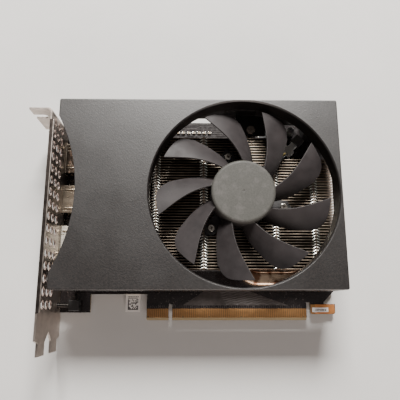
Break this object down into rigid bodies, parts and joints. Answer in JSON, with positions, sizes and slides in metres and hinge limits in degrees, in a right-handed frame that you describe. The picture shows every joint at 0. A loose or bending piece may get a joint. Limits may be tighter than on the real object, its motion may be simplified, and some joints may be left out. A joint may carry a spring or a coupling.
{
  "type": "graphics card",
  "caption": "Two-slot graphics card with one axial fan in a black shroud, finned heat-pipe cooler, vented slot bracket and keyed gold edge connector.",
  "frame": {"origin": "centre of the bounding box's base, with the card lying on the back of its board and its fan upwards", "axes": "+X along the card from the slot bracket to the tail, +Y from the contact edge to the board's top edge, +Z out of the component face along the fan's axis"},
  "size_m": [0.1584, 0.1266, 0.0387],
  "materials": {
    "board_mask": "glossy black solder mask over glass-fibre board",
    "gold_plating": "hard gold plating, slightly dull",
    "chip_substrate": "dark green laminate",
    "silicon": "polished bare silicon",
    "chip_resin": "moulded chip resin, fine matte",
    "thermal_pad": "soft grey-blue pad",
    "choke_ferrite": "pressed grey ferrite",
    "capacitor_can": "satin can",
    "capacitor_ceramic": "tan ceramic",
    "socket_black": "moulded black nylon",
    "pin_metal": "tinned brass",
    "nickel_plate": "nickel-plated sheet steel with bright cut edges",
    "black_block": "black oxide",
    "screw_black": "black oxide steel",
    "port_shell": "stamped plated shell",
    "cooler_aluminium": "machined",
    "copper": "bare copper",
    "fin_aluminium": "thin rolled sheet, bright edges",
    "spring_steel": "black coated spring steel",
    "insulating_film": "thin black film",
    "rotor_plastic": "satin dark grey moulding",
    "yoke_steel": "pressed steel",
    "magnet_ferrite": "bonded ferrite",
    "fan_base_plastic": "dark grey moulding",
    "core_steel": "stacked laminations",
    "coil_copper": "enamelled copper wire",
    "fan_board": "green solder mask",
    "sintered_bronze": "oil-filled bronze",
    "white_plastic": "white nylon",
    "screw_bright": "zinc-plated steel",
    "wire_black": "thin insulation",
    "wire_yellow": "thin insulation",
    "wire_white": "thin insulation",
    "wire_blue": "thin insulation",
    "shroud_paint": "fine sand-textured matte black paint",
    "label_paper": null
  },
  "bodies": {
    "card": {"board": "board_mask", "edge_contacts": "gold_plating", "processor_package": "chip_substrate", "processor_die": "silicon", "memory_chips": "chip_resin", "thermal_pads": "thermal_pad", "power_chokes": "choke_ferrite", "power_transistors": "chip_resin", "can_capacitors": "capacitor_can", "ceramic_capacitors": "capacitor_ceramic", "controller_chips": "chip_resin", "power_socket": "socket_black", "power_socket_pins": "pin_metal", "slot_bracket": "nickel_plate", "bracket_blocks": "black_block", "bracket_screws": "screw_black", "upper_video_port": "port_shell", "middle_video_port": "port_shell", "lower_video_port": "port_shell", "video_port_inserts": "socket_black", "video_port_contacts": "gold_plating", "cooler_base": "cooler_aluminium", "heat_pipes": "copper", "fin_stack": "fin_aluminium", "cooler_posts": "pin_metal", "mount_spacers": "pin_metal", "retention_plate": "spring_steel", "retention_film": "insulating_film", "retention_screws": "screw_black", "fan_base": "fan_base_plastic", "stator_core": "core_steel", "stator_coils": "coil_copper", "fan_circuit_board": "fan_board", "sleeve_bearing": "sintered_bronze", "thrust_pad": "white_plastic", "fan_screws": "screw_bright", "fan_header": "white_plastic", "fan_plug": "white_plastic", "black_fan_wire": "wire_black", "yellow_fan_wire": "wire_yellow", "green_fan_wire": "wire_white", "blue_fan_wire": "wire_blue", "shroud": "shroud_paint", "shroud_screws": "screw_black", "shroud_front_screw": "screw_black", "flag_label": "label_paper", "hook_label": "label_paper"},
    "rotor": {"fan_rotor": "rotor_plastic", "rotor_yoke": "yoke_steel", "rotor_magnet": "magnet_ferrite", "fan_shaft": "yoke_steel"}
  },
  "joints": [
    {"name": "fan_spin", "type": "hinge", "parent": "card", "child": "rotor", "pos_m": [0.0282, 0.01493, 0.02295], "axis": [0, 0, 1], "continuous": true}
  ]
}
